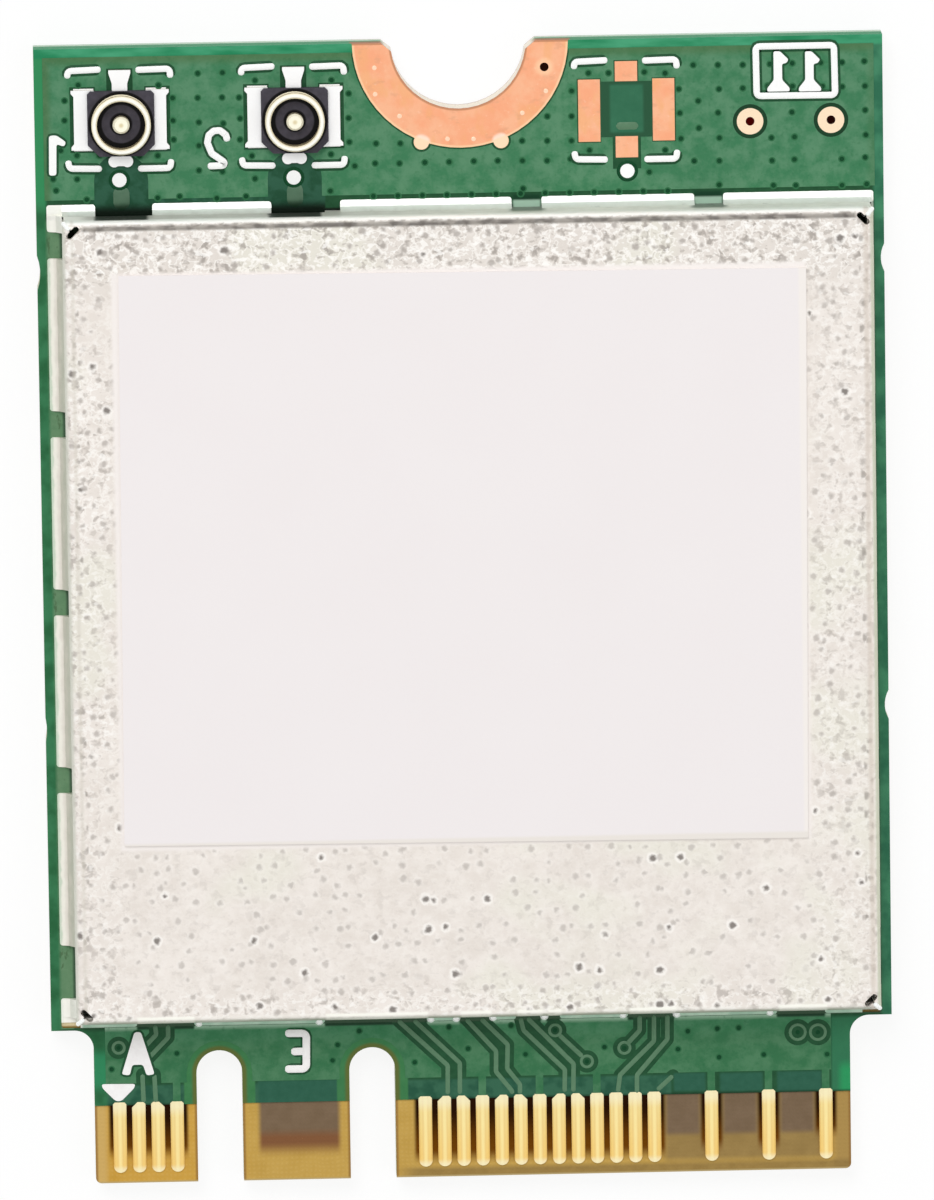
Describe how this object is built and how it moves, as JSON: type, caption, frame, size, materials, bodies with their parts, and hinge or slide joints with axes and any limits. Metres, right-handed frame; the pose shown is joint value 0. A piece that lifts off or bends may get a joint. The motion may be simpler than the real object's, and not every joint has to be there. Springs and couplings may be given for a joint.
{
  "type": "wifi card",
  "caption": "Small green wireless card with gold edge contacts, two key notches, a half round screw notch, antenna receptacles and a soldered shield can.",
  "frame": {"origin": "centre of the board's outline on its underside, where the card rests", "axes": "+X across the board, to the right with the component side up and the screw notch away; +Y from the edge contacts to the screw notch; +Z out of the component side"},
  "size_m": [0.022, 0.03, 0.0022],
  "materials": {
    "laminate": "satin glass fibre laminate, golden tan",
    "green_mask": "semi gloss green solder mask",
    "contact_gold": "smooth gold plating",
    "bare_copper": "satin bare copper, protected",
    "solder_tin": "bright tinned",
    "tinned_sheet": "finely speckled tinned sheet",
    "label_film": "blank, matt",
    "receptacle_plating": "pale gold plating",
    "receptacle_plastic": "moulded, satin",
    "package_black": "moulded, matt",
    "pale_ceramic": "matt",
    "dark_ceramic": "matt",
    "tan_ceramic": "matt",
    "ferrite": "matt"
  },
  "bodies": {
    "root": {"board": "laminate", "solder_mask_top": "green_mask", "solder_mask_bottom": "green_mask", "contacts_top": "contact_gold", "contacts_bottom": "contact_gold", "screw_land_top": "bare_copper", "screw_land_bottom": "bare_copper", "shield_lands": "solder_tin", "shield_solder": "solder_tin", "shield_can": "tinned_sheet", "label": "label_film", "receptacle_lands": "solder_tin", "spare_lands": "bare_copper", "test_points": "bare_copper", "receptacle_1_shell": "receptacle_plating", "receptacle_1_insulator": "receptacle_plastic", "receptacle_1_pin": "receptacle_plating", "receptacle_2_shell": "receptacle_plating", "receptacle_2_insulator": "receptacle_plastic", "receptacle_2_pin": "receptacle_plating", "component_lands": "solder_tin", "wifi_chip": "package_black", "wifi_chip_terminals": "solder_tin", "front_end_modules": "package_black", "diplexers": "pale_ceramic", "crystal_base": "dark_ceramic", "crystal_lid": "tinned_sheet", "power_inductors": "ferrite", "memory_chip": "package_black", "capacitors": "tan_ceramic", "resistors": "dark_ceramic"}
  },
  "joints": []
}
